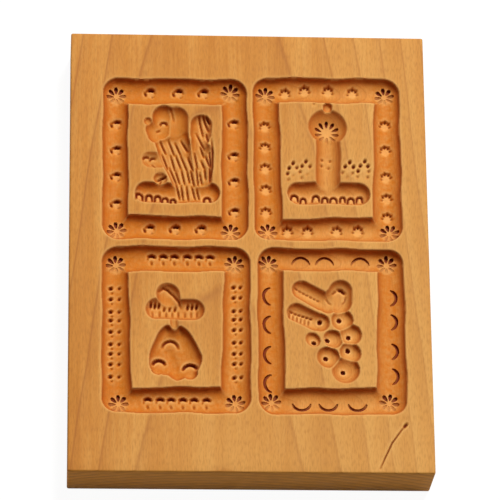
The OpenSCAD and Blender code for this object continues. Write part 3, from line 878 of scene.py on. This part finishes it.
# Painted highlights, partly worn pale wood: the lips of the cuts, a pale band beside each scratch
# and the middles of the struck marks, each with how far it reaches and how pale it is
highlight_reach = 0.4
highlight_height = 0.35
painted_highlight = (softened(depth, highlight_reach) - depth) / highlight_height
scratch_highlight_reach = 0.45
scratch_highlight_height = 0.16
painted_highlight = np.maximum(painted_highlight, (softened(scored, scratch_highlight_reach) - scored) / scratch_highlight_height)
highlit_middles = [(x, y, 3.0, 0.65) for x, y, twist in rosette_spots + [crown_spot]]
highlit_middles += [(x, y - 0.4, 1.5, 0.8) for x, y, turn in fans]
highlit_middles += [(x + 0.2, y - 0.9, 1.2, 0.7) for x, y in thumbnails]
highlit_middles += [(x, y, 1.5, 0.6) for x, y in plant_middles]
for x, y, reach, most in highlit_middles:
    spot = patch(x - reach, x + reach, y - reach, y + reach)
    off = np.hypot(plain_x[spot] - x, plain_y[spot] - y)
    painted_highlight[spot] = np.maximum(painted_highlight[spot], most * np.clip(2 * (reach - off), 0, 1))
# Painted shade: darker colour on the steep walls, and on whatever lies below the gouged floor in a struck
# mark or a scratch
steep_from = 0.25
steep_full = 1.3
# The steeper the wall, the more painted shade it gets
fall_y, fall_x = np.gradient(carved, tool_step)
wall_shade = (np.hypot(fall_x, fall_y) - steep_from) / (steep_full - steep_from)
# The deeper a point lies inside a struck mark or a scratch, the more painted shade it gets
mark_full = 0.75
score_from = 0.15
score_full = 0.75
slack = 0.06
mark_shade = (plank_t - spots[:, 2] - depth[row, col] - slack) / mark_full
mark_shade = np.maximum(mark_shade, (scored[row, col] - score_from) / (score_full - score_from))
# Oil and painted shade with depth, less of both in a painted lit band under the right-hand pictures
lit_band_left = 8.0
lit_band_right = 40.0
lit_band_edge = 4.0
lit_band_share = 0.6
painted_lit_band = np.clip(np.minimum(plain_x - lit_band_left, lit_band_right - plain_x) / lit_band_edge, 0, 1)
oil_and_depth_shade = depth / trench_d * (1 - lit_band_share * painted_lit_band)
for name, values in (("recess", oil_and_depth_shade[row, col]), ("steep", wall_shade[row, col]),
                     ("lip", painted_highlight[row, col]), ("struck", mark_shade)):
    layer = board_mesh.attributes.new(name, "FLOAT", "POINT")
    layer.data.foreach_set("value", np.where(on_face, np.clip(values, 0, 1), 0))
board_mesh.polygons.foreach_set("use_smooth", [True] * len(board_mesh.polygons))
board_mesh.set_sharp_from_angle(angle=math.radians(50))
board = bpy.data.objects.new("carved_board", board_mesh)
shown.link(board)
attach(board, "root")
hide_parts("mould_board")

# The table, the light and the camera
# A white studio table that fades into the background, one soft lamp behind the upper right
# corner, a pale room all round, and a long lens looking down at the face from its foot.
paper = bpy.data.materials.new("white_paper_sweep")
paper.use_nodes = True
shade = paper.node_tree
shade.nodes.clear()
paper_glow = 0.88
ray = add(shade, "ShaderNodeLightPath").outputs
seen = add(shade, "ShaderNodeMath", {0: ray["Is Camera Ray"], 1: ray["Is Glossy Ray"]}, operation="MAXIMUM")
seen = add(shade, "ShaderNodeMath", {0: seen.outputs[0], 1: ray["Is Transmission Ray"]}, operation="MAXIMUM")
glow_share = add(shade, "ShaderNodeMath", {0: seen.outputs[0], 1: paper_glow}, operation="MULTIPLY")
sheet = add(shade, "ShaderNodeBsdfDiffuse", {"Color": linear("#F4F3F1")})
glow = add(shade, "ShaderNodeEmission", {"Color": (1, 1, 1, 1), "Strength": 1.08})
both = add(shade, "ShaderNodeMixShader", {0: glow_share.outputs[0], 1: sheet.outputs[0], 2: glow.outputs[0]})
add(shade, "ShaderNodeOutputMaterial", {"Surface": both.outputs[0]})
table_half = 4.0
table_mesh = bpy.data.meshes.new("table")
table_mesh.from_pydata([(-table_half, -table_half, 0), (table_half, -table_half, 0),
                        (table_half, table_half, 0), (-table_half, table_half, 0)], [], [(0, 1, 2, 3)])
table_mesh.materials.append(paper)
table = bpy.data.objects.new("table", table_mesh)
shown.link(table)

room = bpy.data.worlds.new("pale_room")
room.use_nodes = True
shade = room.node_tree
shade.nodes.clear()
room_light = 0.05
ray = add(shade, "ShaderNodeLightPath").outputs
seen = add(shade, "ShaderNodeMath", {0: ray["Is Camera Ray"], 1: ray["Is Transmission Ray"]},
           operation="MAXIMUM")
strength = add(shade, "ShaderNodeMapRange", {"Value": seen.outputs[0], "To Min": room_light, "To Max": 1.0})
back = add(shade, "ShaderNodeBackground", {"Color": (1, 1, 1, 1), "Strength": strength.outputs[0]})
add(shade, "ShaderNodeOutputWorld", {"Surface": back.outputs[0]})
bpy.context.scene.world = room

lamp_azimuth = math.radians(27)
lamp_height = math.radians(62)
lamp_distance = 2.0
lamp_data = bpy.data.lights.new("soft_lamp", "AREA")
lamp_data.shape = "DISK"
lamp_data.size = 0.6
lamp_data.energy = 42.5
lamp = bpy.data.objects.new("soft_lamp", lamp_data)
lamp.location = (lamp_distance * math.cos(lamp_height) * math.sin(lamp_azimuth),
                 lamp_distance * math.cos(lamp_height) * math.cos(lamp_azimuth),
                 lamp_distance * math.sin(lamp_height))
lamp.rotation_euler = (-Vector(lamp.location)).to_track_quat("-Z", "Y").to_euler()
shown.link(lamp)

camera_data = bpy.data.cameras.new("camera")
camera_data.sensor_fit = "HORIZONTAL"
camera_data.sensor_width = 36.0
camera_data.lens = 252.0
camera = bpy.data.objects.new("camera", camera_data)
camera.location = (-0.06158, -0.37481, 0.99530)
aim = Vector((0.00008, -0.00041, 0.018))
roll = math.radians(9.383)
camera.rotation_mode = "QUATERNION"
camera.rotation_quaternion = (aim - camera.location).to_track_quat("-Z", "Y") @ Quaternion((0, 0, 1), roll)
shown.link(camera)
bpy.context.scene.camera = camera
bpy.context.scene.view_settings.view_transform = "Standard"

bpy.context.view_layer.update()
